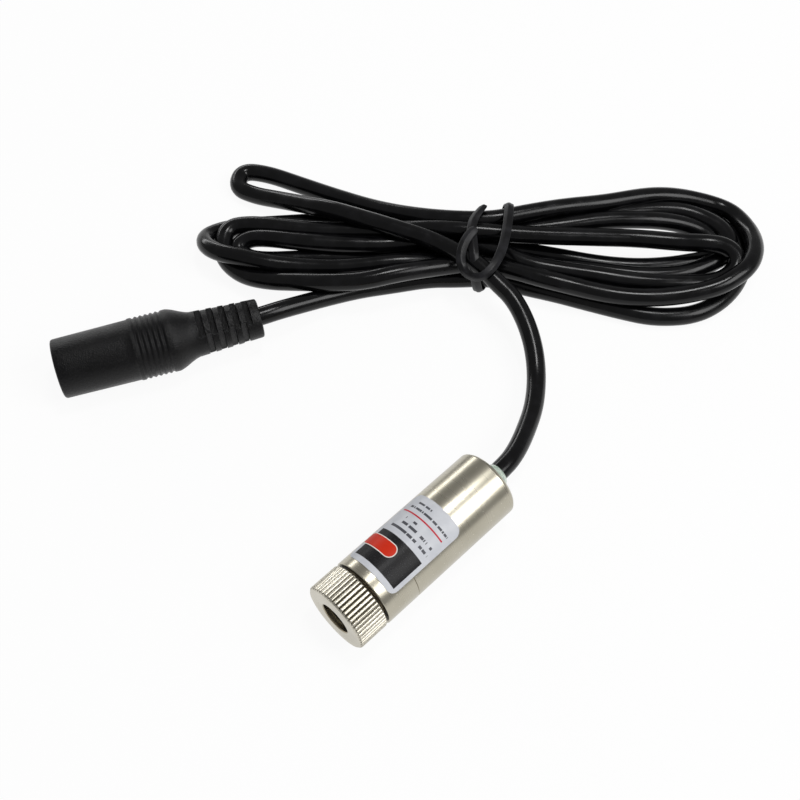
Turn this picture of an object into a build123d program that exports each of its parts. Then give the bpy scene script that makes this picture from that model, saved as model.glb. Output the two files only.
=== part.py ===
from build123d import *
import math
import os

# A 12 mm laser diode module lying on its side, with its knurled focusing cap to -Y, its power cable leaving
# the back, the cable's spare length tied in a hank, and an inline socket on the far end.
# Millimetres. The module's axis runs along Y at one barrel radius above the surface it lies on.

# Barrel and cap
barrel_radius = 6.0
module_length = 34.1
cap_length = 5.6
focus_gap = 0.35
head_length = 6.4
tube_wall = 0.6
end_wall = 1.2
edge_chamfer = 0.35
rear_chamfer = 0.5
seam_chamfer = 0.12
cut_overrun = 1.0

# Knurl on the cap
knurl_count = 50
knurl_depth = 0.22
knurl_rim = 0.3
rim_drop = 0.05

# Focusing thread: the barrel's wall outside it, its clearance, and how far the stem reaches into the barrel
thread_wall = 1.5
running_clearance = 0.05
stem_length = 4.6
stem_wall = 1.2

# Optics inside the cap
aperture_ledge = 0.45
face_thickness = 1.1
lens_edge_thickness = 1.0
lens_crown = 0.55
lens_clearance = 0.05
retainer_length = 1.3
retainer_wall = 1.05
spanner_slot_width = 0.7
spanner_slot_depth = 0.5

# Laser diode: a 5.6 mm can on three leads
header_radius = 2.8
header_thickness = 1.2
can_radius = 1.78
can_height = 2.3
can_wall = 0.2
can_clearance = 0.15
window_radius = 1.1
window_thickness = 0.25
can_opening_radius = 0.8
lead_radius = 0.22
lead_circle_radius = 1.27
lead_length = 2.8
diode_web = 2.2
spigot_length = 5.0

# Driver board and its components
board_length = 11.0
board_side_gap = 0.3
board_thickness = 0.8
board_to_diode = 1.0
chip_size = (3.0, 3.0, 1.0)
chip_lead_width = 0.3
chip_lead_thickness = 0.2
board_part_gap = 0.35
chip_lead_count = 4
chip_lead_pitch = 0.65
chip_place = (0.0, 6.9)
transistor_size = (1.4, 2.9, 1.0)
side_row_inset = 1.45
transistor_along = 4.4
resistor_size = (1.25, 2.0, 0.5)
resistor_alongs = (3.6, 6.6, 9.2)
capacitor_size = (1.6, 3.2, 1.2)
capacitor_along = 8.6
trimmer_size = (3.2, 3.0, 1.3)
trimmer_place = (0.0, 3.5)
trimmer_rotor_radius = 1.1
trimmer_rotor_height = 0.35
trimmer_slot = 0.35

# Cable: a round two-core jacketed cable
cable_radius = 1.7
core_radius = 0.62
core_offset = 0.66
core_spread = 1.5
core_pad_length = 1.6
cable_entry_depth = 2.6
glue_radius = 2.9
glue_length = 1.6
glue_flange = 0.8
glue_flange_gap = 1.8
gland_clearance = 0.35

# Label film wrapped round the upper side, from its front edge and by its turn about the axis
label_front = 7.6
label_length = 15.3
label_thickness = 0.1
label_half_angle = 53.0
label_turn = -3.5
label_corner = 1.4

# Inline socket: an overmoulded barrel, ribbed collar, taper and slotted strain relief
jack_mouth_point = (-67.4, -21.6)
jack_turn = 26.3
jack_mouth_radius = 5.28
jack_barrel_radius = 5.45
jack_collar_radius = 5.6
jack_barrel_length = 13.3
jack_collar_length = 7.0
jack_taper_length = 3.9
relief_length = 12.0
relief_root_radius = 4.1
relief_end_radius = 3.5
jack_rib_count = 8
jack_rib_groove = 0.45
jack_rib_depth = 0.3
jack_opening_radius = 3.6
jack_lip = 1.0
housing_radius = 3.95
housing_bore = 2.85
housing_length = 13.0
housing_floor = 2.2
housing_lead_in = 0.5
centre_pin_radius = 1.0
centre_pin_length = 9.0
centre_pin_flange_radius = 1.5
centre_pin_flange = 0.7
tail_radius = 0.5
tail_length = 3.0
contact_width = 1.6
contact_thickness = 0.3
contact_length = 8.0
relief_slot_count = 5
relief_slot_length = 1.05
relief_slot_pitch = 2.1
relief_slot_start = 1.4
relief_slot_depth = 1.35
cable_grip_length = 7.0

# Hank: the place and turn of its tie, and how its turns stack
tie_point = (-34.8, 53.3)
hank_turn = 44.8
hank_height = 9.4
tie_thickness = 0.8
tie_width = 1.6
tie_bottom = 0.8
tie_clearance = 0.05
twist_radius = 0.7
twist_length = 12.0

# The hank's outline seen from above, as (along, across) from the tie: the outer edge of its outermost turns
hank_outline = (
    (0.0, 7.9), (6.0, 9.3), (13.0, 10.9), (21.0, 12.4), (29.0, 14.3), (36.0, 14.7), (42.5, 13.3), (47.0, 10.4),
    (50.0, 6.0), (50.5, 1.0), (49.4, -4.0), (45.5, -9.8), (40.0, -13.7), (34.6, -15.4), (29.0, -15.6),
    (20.0, -12.9), (13.0, -10.7), (6.0, -9.1), (0.0, -8.1), (-10.0, -8.2), (-20.0, -9.9), (-25.0, -10.9),
    (-30.0, -9.9), (-36.0, -9.6), (-43.0, -9.0), (-49.0, -6.3), (-53.0, -3.2), (-54.5, 1.0), (-53.0, 4.6),
    (-48.0, 7.0), (-41.0, 8.8), (-39.5, 9.6), (-42.5, 10.8), (-47.0, 13.0), (-50.0, 16.0), (-49.5, 18.6),
    (-46.0, 20.3), (-42.5, 20.4), (-37.0, 18.4), (-29.0, 14.8), (-21.0, 11.0), (-13.3, 8.8), (-6.0, 7.8),
)
right_opening = ((14.0, 0.6), (20.0, 3.0), (30.0, 3.6), (37.0, 1.2), (33.0, -0.4), (26.0, -0.9), (19.0, -0.6))
upper_slit = ((-44.5, 16.6), (-37.0, 15.0), (-29.0, 11.3), (-25.0, 8.9), (-30.0, 10.0), (-36.5, 12.6), (-43.0, 14.4))

# The hank's top seen from the side, as (along, height)
hank_top = (
    (-56.0, 4.0), (-50.0, 5.6), (-36.0, 6.4), (-20.0, 7.8), (-6.0, 9.4), (6.0, 9.4), (16.0, 8.6), (38.0, 7.9),
    (46.0, 6.9), (52.0, 6.4),
)

# Cable routes, as points (x, y, z) chosen along the cable. The lead leaves the module's back, comes down and
# climbs onto the hank. The tail leaves the socket's strain relief and runs in under the hank. Each starts with a
# straight run whose start is worked out below.
lead_straight = 6.4
lead_route = (
    (-1.0, 24.1, 5.1), (-2.9, 28.6, 4.0), (-5.6, 33.9, 3.1), (-9.4, 38.7, 2.8), (-13.6, 42.4, 3.2),
    (-18.2, 45.1, 4.1), (-22.9, 46.7, 5.1), (-26.8, 49.1, 5.6),
)
tail_straight = 3.0
tail_route = ((-49.4, 18.1, 4.7), (-48.0, 24.3, 3.1), (-45.5, 30.1, 1.95), (-42.2, 35.3, 1.7))

# Places worked out from the sizes above
front_y = -(module_length + glue_length) / 2
rear_y = front_y + module_length
thread_radius = barrel_radius - thread_wall
lens_radius = thread_radius - running_clearance - stem_wall - lens_clearance
aperture_radius = lens_radius - aperture_ledge
retainer_bore = lens_radius - retainer_wall
cap_rear_y = front_y + cap_length
head_front_y = cap_rear_y + focus_gap
seam_y = head_front_y + head_length
spigot_end_y = seam_y + spigot_length
web_front_y = spigot_end_y - diode_web
stem_end_y = cap_rear_y + stem_length
tube_bore = barrel_radius - tube_wall
inner_end_y = rear_y - end_wall
cable_end_y = rear_y - cable_entry_depth
gland_radius = cable_radius + gland_clearance
board_width = 2 * (tube_bore - board_side_gap)
side_row = board_width / 2 - side_row_inset
chip_lead_length = side_row - (resistor_size[0] + chip_size[0]) / 2 - board_part_gap
module_axis = Axis((0, 0, barrel_radius), (0, 1, 0))


def turned(profile):
    """A solid turned about the module's axis from (along, radius) points."""
    points = [(0, along, barrel_radius + radius) for along, radius in profile]
    return revolve(make_face(Polyline(*points, close=True)), module_axis)


def turned_ring(start, end, outer, inner):
    return turned([(start, inner), (start, outer), (end, outer), (end, inner)])


def upright_block(size, x, y, bottom):
    """A block standing on a height, centred on a place."""
    return Pos(x, y, bottom + size[2] / 2) * Box(*size)


def focus_cap():
    """The knurled cap with its threaded stem, lens chamber and round aperture."""
    crest = barrel_radius
    valley = barrel_radius - knurl_depth
    step = 2 * math.pi / knurl_count
    flat_share = 0.3
    outline = []
    for tooth in range(knurl_count):
        middle = tooth * step
        for offset, radius in ((-flat_share, crest), (flat_share, crest), (1 / 2, valley)):
            angle = middle + offset * step
            outline.append((radius * math.sin(angle), radius * math.cos(angle)))
    plane = Plane(origin=(0, front_y, barrel_radius), x_dir=(1, 0, 0), z_dir=(0, 1, 0))
    knurled = extrude(plane * make_face(Polyline(*outline, close=True)), cap_length)
    envelope = turned([
        (front_y, 0), (front_y, crest - edge_chamfer), (front_y + edge_chamfer, crest),
        (cap_rear_y - knurl_rim, crest), (cap_rear_y, crest - knurl_rim), (cap_rear_y, 0),
    ])
    rim = turned_ring(cap_rear_y - knurl_rim, cap_rear_y, valley - rim_drop, 0)
    head = (knurled & envelope) + rim
    stem = turned_ring(cap_rear_y, stem_end_y, thread_radius - running_clearance, 0)
    chamber = turned_ring(front_y + face_thickness, stem_end_y + cut_overrun, lens_radius + lens_clearance, 0)
    bore = turned_ring(front_y - cut_overrun, front_y + face_thickness + cut_overrun, aperture_radius, 0)
    return head + stem - chamber - bore


lens_front_y = front_y + face_thickness + lens_clearance
lens_middle_y = lens_front_y + lens_crown + lens_edge_thickness / 2
lens_back_y = lens_front_y + lens_edge_thickness + 2 * lens_crown
retainer_y = lens_back_y + lens_clearance


def lens_face(edge_y, side):
    """Half of one crowned face: a sphere's arc from the rim to the axis, and the point where it meets the axis."""
    sphere_radius = (lens_radius ** 2 + lens_crown ** 2) / (2 * lens_crown)
    half_angle = math.asin(lens_radius / sphere_radius) / 2
    middle_height = sphere_radius * math.cos(half_angle) - (sphere_radius - lens_crown)
    crown = (0, edge_y + side * lens_crown, barrel_radius)
    middle = (0, edge_y + side * middle_height, barrel_radius + sphere_radius * math.sin(half_angle))
    return ThreePointArc((0, edge_y, barrel_radius + lens_radius), middle, crown), crown


def collimating_lens():
    """A lens with two crowned faces and a short cylindrical rim."""
    front_edge = lens_middle_y - lens_edge_thickness / 2
    back_edge = lens_middle_y + lens_edge_thickness / 2
    rim = Line((0, front_edge, barrel_radius + lens_radius), (0, back_edge, barrel_radius + lens_radius))
    front, front_crown = lens_face(front_edge, -1)
    back, back_crown = lens_face(back_edge, 1)
    return revolve(make_face(Wire([front, rim, back, Line(back_crown, front_crown)])), module_axis)


def lens_retainer():
    """The ring screwed in behind the lens, with two spanner slots across its back."""
    ring = turned_ring(retainer_y, retainer_y + retainer_length, lens_radius + lens_clearance, retainer_bore)
    slot = Pos(0, retainer_y + retainer_length, barrel_radius) * Box(
        2 * (lens_radius + cut_overrun), 2 * spanner_slot_depth, spanner_slot_width
    )
    return ring - slot


def front_head():
    """The barrel's front: the threaded bore, the diode's seat and the spigot that the rear tube slides over."""
    body = turned([
        (head_front_y, thread_radius), (head_front_y, barrel_radius - seam_chamfer),
        (head_front_y + seam_chamfer, barrel_radius), (seam_y - seam_chamfer, barrel_radius),
        (seam_y, barrel_radius - seam_chamfer), (seam_y, tube_bore), (spigot_end_y, tube_bore),
        (spigot_end_y, header_radius), (spigot_end_y - header_thickness, header_radius),
        (spigot_end_y - header_thickness, can_radius + can_clearance),
        (web_front_y, can_radius + can_clearance), (web_front_y, thread_radius),
    ])
    return body


def rear_tube():
    """The rear barrel: a drawn tube with a closed end and a round cable hole."""
    return turned([
        (seam_y, tube_bore), (seam_y, barrel_radius - seam_chamfer), (seam_y + seam_chamfer, barrel_radius),
        (rear_y - rear_chamfer, barrel_radius), (rear_y, barrel_radius - rear_chamfer), (rear_y, gland_radius),
        (inner_end_y, gland_radius), (inner_end_y, tube_bore),
    ])


header_front_y = spigot_end_y - header_thickness
can_front_y = header_front_y - can_height


def diode_header():
    return turned_ring(header_front_y, spigot_end_y, header_radius, 0)


def diode_can():
    """The thin cap over the laser chip, with a flange and a window opening."""
    return turned([
        (header_front_y, can_radius - can_wall), (header_front_y, can_radius), (can_front_y, can_radius),
        (can_front_y, can_opening_radius), (can_front_y + can_wall, can_opening_radius),
        (can_front_y + can_wall, can_radius - can_wall),
    ])


def diode_window():
    start = can_front_y + can_wall
    return turned_ring(start, start + window_thickness, window_radius, 0)


def diode_submount():
    """The heat-sink post on the header that carries the laser chip."""
    width = can_radius
    height = can_radius / 2
    depth = can_height - can_wall - 2 * window_thickness
    return Pos(0, header_front_y - depth / 2, barrel_radius - height) * Box(width, depth, height)


def diode_leads():
    """Three leads on the header's back, two level with the axis and one below it."""
    leads = []
    for turn in (0, 180, 270):
        x = lead_circle_radius * math.cos(math.radians(turn))
        z = barrel_radius + lead_circle_radius * math.sin(math.radians(turn))
        plane = Plane(origin=(x, spigot_end_y, z), z_dir=(0, 1, 0))
        leads.append(extrude(plane * Circle(lead_radius), lead_length))
    return Compound(children=leads)


board_front_y = spigot_end_y + board_to_diode
board_rear_y = board_front_y + board_length
board_top = barrel_radius - lead_radius
board_middle_y = (board_front_y + board_rear_y) / 2


def driver_board():
    return upright_block((board_width, board_length, board_thickness), 0, board_middle_y, board_top - board_thickness)


def on_board(size, place):
    return upright_block(size, place[0], board_front_y + place[1], board_top)


def driver_chip():
    """The driver chip's body with four flat leads down each side."""
    chip = on_board(chip_size, chip_place)
    for side in (-1, 1):
        for index in range(chip_lead_count):
            along = (index - (chip_lead_count - 1) / 2) * chip_lead_pitch
            x = chip_place[0] + side * (chip_size[0] + chip_lead_length) / 2
            chip += on_board((chip_lead_length, chip_lead_width, chip_lead_thickness), (x, chip_place[1] + along))
    return chip


def driver_transistor():
    return on_board(transistor_size, (-side_row, transistor_along))


def driver_resistors():
    return Compound(children=[on_board(resistor_size, (side_row, along)) for along in resistor_alongs])


def driver_capacitor():
    return on_board(capacitor_size, (-side_row, capacitor_along))


def power_trimmer():
    """The small trimmer that sets the diode's current, with a slotted rotor."""
    body = on_board(trimmer_size, trimmer_place)
    top = board_top + trimmer_size[2]
    centre = (trimmer_place[0], board_front_y + trimmer_place[1])
    rotor = Pos(*centre, top + trimmer_rotor_height / 2) * Cylinder(trimmer_rotor_radius, trimmer_rotor_height)
    slot = Pos(*centre, top + trimmer_rotor_height) * Box(
        2 * trimmer_rotor_radius, trimmer_slot, 2 * trimmer_rotor_height
    )
    return body + rotor - slot


def arc_radii(points):
    """Each corner's radius: 0.45 of its shorter run over the tangent of half its turn."""
    run_share = 0.45
    vectors = [Vector(*b) - Vector(*a) for a, b in zip(points, points[1:])]
    radii = []
    for before, after in zip(vectors, vectors[1:]):
        half_turn = math.radians(before.get_angle(after)) / 2
        radii.append(run_share * min(before.length, after.length) / math.tan(half_turn))
    return radii


def tube_along(points, radius):
    path = FilletPolyline(*points, radius=arc_radii(points))
    section = Plane(origin=path @ 0, z_dir=path % 0) * Circle(radius)
    return sweep(section, path=path), path


def core_wire(side):
    """One insulated core, from the cable's end down to its pad on the board."""
    x = side * core_offset
    pad_y = board_rear_y - core_pad_length
    drop = (cable_end_y - pad_y) / 4
    rest = board_top + core_radius
    return tube_along((
        (x, cable_end_y, barrel_radius), (x, cable_end_y - drop, barrel_radius),
        (x * core_spread, cable_end_y - 2 * drop, rest), (x * core_spread, pad_y, rest),
    ), core_radius)[0]


def glue_plug():
    """The clear glue that fills the cable hole and stands as a bead round the cable."""
    return turned([
        (inner_end_y - glue_flange, cable_radius), (inner_end_y - glue_flange, tube_bore - glue_flange_gap),
        (inner_end_y, tube_bore - glue_flange_gap), (inner_end_y, gland_radius), (rear_y, gland_radius),
        (rear_y, glue_radius), (rear_y + glue_length / 3, glue_radius - glue_length / 5),
        (rear_y + glue_length, cable_radius + running_clearance), (rear_y + glue_length, cable_radius),
    ])


def label():
    """The printed film: a sheet bent round the barrel with rounded corners."""
    outer = barrel_radius + label_thickness
    start_y = front_y + label_front
    sheet = turned_ring(start_y, start_y + label_length, outer, barrel_radius)
    limits = [math.radians(label_turn + side * label_half_angle) for side in (-1, 1)]
    reach = 2 * barrel_radius
    wedge = [(0, 0)] + [(reach * math.sin(angle), reach * math.cos(angle)) for angle in limits]
    plane = Plane(origin=(0, start_y - cut_overrun, barrel_radius), x_dir=(1, 0, 0), z_dir=(0, 1, 0))
    wedge = [(x, -z) for x, z in wedge]
    sheet = sheet & extrude(plane * make_face(Polyline(*wedge, close=True)), label_length + 2 * cut_overrun)
    square_side = label_corner + cut_overrun
    for side, limit in zip((-1, 1), limits):
        angle = limit - side * label_corner / outer
        radial = (math.sin(angle), 0, math.cos(angle))
        for end in (-1, 1):
            middle_y = start_y + label_length / 2 + end * (label_length / 2 - label_corner)
            corner_plane = Plane(origin=(0, middle_y, barrel_radius), x_dir=(0, 1, 0), z_dir=radial)
            across = corner_plane.y_dir.dot(Vector(math.cos(angle), 0, -math.sin(angle))) * side
            square = Pos(end * square_side / 2, across * square_side / 2, 0) * Rectangle(square_side, square_side)
            sheet -= extrude(corner_plane * (square - Circle(label_corner)), outer + cut_overrun)
    return sheet


jack_heading = math.radians(jack_turn)
jack_plane = Plane(
    origin=(*jack_mouth_point, jack_collar_radius), x_dir=(math.cos(jack_heading), -math.sin(jack_heading), 0),
    z_dir=(math.sin(jack_heading), math.cos(jack_heading), 0),
)
jack_axis = Axis(jack_plane.origin, jack_plane.z_dir)
collar_start = jack_barrel_length
collar_end = collar_start + jack_collar_length
relief_start = collar_end + jack_taper_length
relief_end = relief_start + relief_length
housing_end = jack_lip + housing_length


def jack_point(distance):
    """A point on the socket's axis, at a distance from its mouth."""
    return jack_plane.from_local_coords((0, 0, distance))


def jack_turned(profile):
    """A solid turned about the socket's axis from (distance from the mouth, radius) points."""
    points = [jack_plane.from_local_coords((0, radius, along)) for along, radius in profile]
    return revolve(make_face(Polyline(*points, close=True)), jack_axis)


def jack_ring(start, end, outer, inner):
    return jack_turned([(start, inner), (start, outer), (end, outer), (end, inner)])


def jack_overmould():
    """The moulded body: barrel, ribbed collar, taper and strain relief, with room for what it is moulded on."""
    profile = [(0, 0), (0, jack_mouth_radius - edge_chamfer), (edge_chamfer, jack_mouth_radius)]
    profile += [(collar_start, jack_barrel_radius), (collar_start + jack_rib_groove, jack_collar_radius)]
    rib_pitch = (jack_collar_length - 2 * jack_rib_groove) / jack_rib_count
    for rib in range(1, jack_rib_count):
        middle = collar_start + jack_rib_groove + rib * rib_pitch
        profile += [
            (middle - jack_rib_groove / 2, jack_collar_radius), (middle, jack_collar_radius - jack_rib_depth),
            (middle + jack_rib_groove / 2, jack_collar_radius),
        ]
    profile += [
        (collar_end, jack_collar_radius), (relief_start, relief_root_radius),
        (relief_end - edge_chamfer, relief_end_radius), (relief_end, relief_end_radius - edge_chamfer),
        (relief_end, 0),
    ]
    body = jack_turned(profile)
    body -= jack_ring(-cut_overrun, jack_lip + cut_overrun, jack_opening_radius, 0)
    body -= jack_ring(jack_lip, housing_end, housing_radius, 0)
    body -= jack_ring(relief_end - cable_grip_length, relief_end + cut_overrun, cable_radius, 0)
    for tail in (pin_tail(), contact_tail()):
        body -= tail
    for slot in relief_slots():
        body -= slot
    return body


def relief_slots():
    """Staggered slots that let the strain relief bend: a row on each side, and a shorter row above and below."""
    slots = []
    for turn, count, first in ((0, relief_slot_count, 0), (90, relief_slot_count - 1, 1 / 2)):
        for index in range(count):
            middle = relief_slot_start + (index + first) * relief_slot_pitch
            outer = relief_root_radius + (relief_end_radius - relief_root_radius) * middle / relief_length
            for side in (-1, 1):
                place = Pos(0, side * (outer + cut_overrun - relief_slot_depth), relief_start + middle)
                slots.append(jack_plane.location * (Rot(0, 0, turn) * (place * Box(
                    2 * outer, 2 * cut_overrun, relief_slot_length
                ))))
    return slots


def jack_housing():
    """The hard insulator that the plug enters, with a flared mouth and a thick floor."""
    wall = jack_turned([
        (jack_lip, housing_bore + housing_lead_in), (jack_lip, housing_radius), (housing_end, housing_radius),
        (housing_end, 0), (housing_end - housing_floor, 0), (housing_end - housing_floor, housing_bore),
        (jack_lip + housing_lead_in, housing_bore),
    ])
    return wall - centre_pin() - contact_strip() - contact_tail()


def pin_tail():
    return jack_ring(housing_end, housing_end + tail_length, tail_radius, 0)


def centre_pin():
    """The centre pin with a flange in the floor."""
    floor = housing_end - housing_floor
    pin = jack_ring(floor - centre_pin_length, housing_end, centre_pin_radius, 0)
    return pin + jack_ring(floor, floor + centre_pin_flange, centre_pin_flange_radius, 0)


def jack_centre_pin():
    return centre_pin() + pin_tail()


def contact_strip():
    """The sleeve contact: a strip let into the housing's wall, facing the plug."""
    start = housing_end - housing_floor - contact_length
    middle = (start + housing_end) / 2
    block = Box(contact_width, contact_thickness, housing_end - start)
    return jack_plane.location * (Pos(0, -(housing_bore + contact_thickness), middle) * block)


def contact_tail():
    block = Box(contact_width, contact_thickness, tail_length)
    return jack_plane.location * (
        Pos(0, -(housing_bore + contact_thickness), housing_end + tail_length / 2) * block
    )


def jack_sleeve_contact():
    return contact_strip() + contact_tail()


hank_plane = Plane(
    origin=(*tie_point, 0), x_dir=(math.cos(math.radians(hank_turn)), math.sin(math.radians(hank_turn)), 0),
    z_dir=(0, 0, 1),
)


def tie_band():
    """The tie's band round the hank's waist, on the hank's own plane."""
    low = min(point[1] for point in hank_outline if abs(point[0]) < tie_width)
    high = max(point[1] for point in hank_outline if abs(point[0]) < tie_width)
    inner_width = high - low
    inner_height = hank_height - tie_bottom + 2 * tie_clearance
    centre = ((high + low) / 2, tie_bottom - tie_clearance + inner_height / 2)
    outer = RectangleRounded(inner_width + 2 * tie_thickness, inner_height + 2 * tie_thickness, tie_thickness)
    inner = Rectangle(inner_width, inner_height)
    return extrude(Plane.YZ * (Pos(*centre) * (outer - inner)), tie_width / 2, both=True)


def cable_hank():
    """The tied turns as one solid: their outline from above, within their outline from the side."""
    outline = make_face(Spline(*hank_outline, periodic=True))
    outline -= make_face(Spline(*right_opening, periodic=True))
    outline -= make_face(Spline(*upper_slit, periodic=True))
    plan = extrude(outline, hank_height)
    first, last = hank_top[0][0], hank_top[-1][0]
    half_notch = tie_width / 2 + tie_clearance + tie_bottom
    side_points = [
        (first, 0), *hank_top, (last, 0), (half_notch + tie_bottom, 0), (half_notch, tie_bottom),
        (-half_notch, tie_bottom), (-half_notch - tie_bottom, 0),
    ]
    across = max(point[1] for point in hank_outline) + cut_overrun
    side = extrude(Plane.XZ * make_face(Polyline(*side_points, close=True)), across, both=True)
    return hank_plane.location * ((plan & side) - tie_band()) - lead - tail


def twist_tie():
    """The plastic-covered wire round the hank's waist, with its ends twisted together on top."""
    lift = hank_height + tie_thickness + twist_radius / 2
    twist = extrude(Plane(origin=(0, twist_length / 2, lift), z_dir=(0, -1, 0)) * Circle(twist_radius), twist_length)
    return hank_plane.location * (tie_band() + twist)


lead_points = ((0, cable_end_y, barrel_radius), (0, cable_end_y + lead_straight, barrel_radius), *lead_route)
tail_points = (
    jack_point(relief_end - cable_grip_length), jack_point(relief_end + tail_straight), *tail_route,
)
lead, lead_path = tube_along(lead_points, cable_radius)
tail, tail_path = tube_along(tail_points, cable_radius)

nodes = {
    "focus_cap": focus_cap(),
    "collimating_lens": collimating_lens(),
    "lens_retainer": lens_retainer(),
    "front_head": front_head(),
    "rear_tube": rear_tube(),
    "diode_header": diode_header(),
    "diode_can": diode_can(),
    "diode_window": diode_window(),
    "diode_submount": diode_submount(),
    "diode_leads": diode_leads(),
    "driver_board": driver_board(),
    "driver_chip": driver_chip(),
    "driver_transistor": driver_transistor(),
    "driver_resistors": driver_resistors(),
    "driver_capacitor": driver_capacitor(),
    "power_trimmer": power_trimmer(),
    "positive_core": core_wire(1),
    "negative_core": core_wire(-1),
    "glue_plug": glue_plug(),
    "label": label(),
    "cable_lead": lead,
    "cable_hank": cable_hank(),
    "cable_tail": tail,
    "twist_tie": twist_tie(),
    "jack_overmould": jack_overmould(),
    "jack_housing": jack_housing(),
    "jack_centre_pin": jack_centre_pin(),
    "jack_sleeve_contact": jack_sleeve_contact(),
}

os.makedirs("parts", exist_ok=True)
for name, solid in nodes.items():
    export_step(solid, f"parts/{name}.step")

for name, points, solid, path in (
    ("lead", lead_points, lead, lead_path), ("tail", tail_points, tail, tail_path),
):
    section = math.pi * cable_radius ** 2
    print(name, "radii", [round(radius, 1) for radius in arc_radii(points)])
    print(name, "length", round(path.length, 1), "volume", round(solid.volume, 2), "section x length",
          round(section * path.length, 2))
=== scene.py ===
import logging
import math
from dataclasses import dataclass
from enum import Enum
from typing import Any, Iterable, Sequence

import bmesh
import bpy
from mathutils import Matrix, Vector


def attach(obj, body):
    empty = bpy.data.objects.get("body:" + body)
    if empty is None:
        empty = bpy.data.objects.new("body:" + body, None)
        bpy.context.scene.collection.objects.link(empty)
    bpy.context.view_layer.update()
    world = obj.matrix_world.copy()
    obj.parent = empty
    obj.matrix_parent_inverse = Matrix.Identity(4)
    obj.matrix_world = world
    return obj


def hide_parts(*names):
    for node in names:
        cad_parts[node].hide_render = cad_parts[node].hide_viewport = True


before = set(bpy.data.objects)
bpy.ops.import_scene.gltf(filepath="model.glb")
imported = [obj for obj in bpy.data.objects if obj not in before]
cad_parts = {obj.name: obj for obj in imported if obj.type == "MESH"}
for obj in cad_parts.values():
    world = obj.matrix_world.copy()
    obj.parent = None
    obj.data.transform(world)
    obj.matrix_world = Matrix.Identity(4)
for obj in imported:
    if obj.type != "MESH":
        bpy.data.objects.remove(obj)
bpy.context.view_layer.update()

LOG = logging.getLogger("laser_module")
MM = 0.001
SHARP_DEGREES = 35.0

Point = tuple[float, float, float]
Profile = Sequence[tuple[float, float]]
WHITE = (1.0, 1.0, 1.0, 1.0)


class Body(Enum):
    """The moving groups of the part that new pieces ride on."""

    MODULE = "module"
    CAP = "cap"


class Slot(Enum):
    """The record's material slots; deliver takes one with each new piece but does not use it."""

    NICKEL = "nickel"
    BRASS = "brass"
    GLUE = "glue"
    FILM = "film"
    VINYL = "vinyl"
    TIE = "tie"
    MOULDING = "moulding"


def linear(hex_colour: str) -> tuple[float, float, float, float]:
    """Turns six sRGB hex digits into linear red, green and blue, with full alpha."""
    values = [int(hex_colour[start:start + 2], 16) / 255 for start in (0, 2, 4)]
    return *[value / 12.92 if value <= 0.04045 else ((value + 0.055) / 1.055) ** 2.4 for value in values], 1.0


def feed(socket: bpy.types.NodeSocket, value: Any) -> None:
    """Sets an input to a plain value or a hex colour, or links it to another node's output."""
    value = value.socket if isinstance(value, Wire) else value
    if isinstance(value, bpy.types.NodeSocket):
        socket.id_data.links.new(value, socket)
    else:
        socket.default_value = linear(value) if isinstance(value, str) else value


def add_node(
    tree: bpy.types.NodeTree, kind: str, inputs: dict[Any, Any] | None = None, **settings: Any
) -> bpy.types.Node:
    """Adds a node with its settings, and sets or links its inputs.

    Args:
        tree: The node tree that gets the node.
        kind: The node's type name.
        inputs: Input name or number to a value, a hex colour or the output that feeds it.
        settings: Attributes of the node itself.

    Returns:
        The new node.
    """
    node = tree.nodes.new(kind)
    for name, value in settings.items():
        setattr(node, name, value)
    for key, value in (inputs or {}).items():
        feed(node.inputs[key], value)
    return node


class Wire:
    """A node's output, on which sums can be written; each step becomes a node of the same tree."""

    def __init__(self, socket: bpy.types.NodeSocket) -> None:
        """Holds the output."""
        self.socket = socket

    def step(self, operation: str, *others: Any) -> "Wire":
        """Does one step of arithmetic, with this value first."""
        values = dict(enumerate((self, *others)))
        return Wire(add_node(self.socket.id_data, "ShaderNodeMath", values, operation=operation).outputs[0])

    def span(self, low: Any, high: Any, to_low: Any, to_high: Any, kind: str = "LINEAR") -> "Wire":
        """Maps this value from one range to another, clamped."""
        ends = {"Value": self, "From Min": low, "From Max": high, "To Min": to_low, "To Max": to_high}
        node = add_node(self.socket.id_data, "ShaderNodeMapRange", ends, interpolation_type=kind)
        return Wire(node.outputs["Result"])

    def __add__(self, other: Any) -> "Wire":
        """Adds."""
        return self.step("ADD", other)

    def __sub__(self, other: Any) -> "Wire":
        """Takes away."""
        return self.step("SUBTRACT", other)

    def __mul__(self, other: Any) -> "Wire":
        """Multiplies."""
        return self.step("MULTIPLY", other)

    def __truediv__(self, other: Any) -> "Wire":
        """Divides."""
        return self.step("DIVIDE", other)


def reach(first: Wire, second: Wire) -> Wire:
    """Gives the distance from zero of a point with these two coordinates."""
    return (first * first + second * second).step("SQRT")


def split(vector: Any) -> list[Wire]:
    """Gives a vector's three coordinates."""
    tree = (vector.socket if isinstance(vector, Wire) else vector).id_data
    return [Wire(output) for output in add_node(tree, "ShaderNodeSeparateXYZ", {"Vector": vector}).outputs]


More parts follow.
